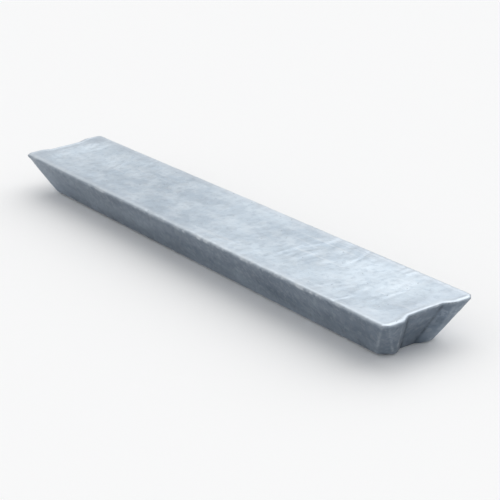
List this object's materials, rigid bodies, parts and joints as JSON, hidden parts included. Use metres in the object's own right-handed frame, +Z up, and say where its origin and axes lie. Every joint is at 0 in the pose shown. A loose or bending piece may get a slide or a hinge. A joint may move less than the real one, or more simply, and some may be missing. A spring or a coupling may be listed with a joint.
{
  "type": "aluminium ingot",
  "caption": "Cast aluminium ingot for remelting: a long tapered bar with a wide open face, a narrow mould face, inward-leaning ends and a shallow recess in each end.",
  "frame": {"origin": "centre of the narrow mould face that the ingot rests on", "axes": "+X along the length, +Y across the width, +Z up towards the wide open face"},
  "size_m": [0.6324, 0.0914, 0.0415],
  "materials": {
    "cast_aluminium": "as cast: smooth satin open face, fine-grained matt mould faces, brighter rubbed edges"
  },
  "bodies": {
    "root": {"ingot": "cast_aluminium"}
  },
  "joints": []
}
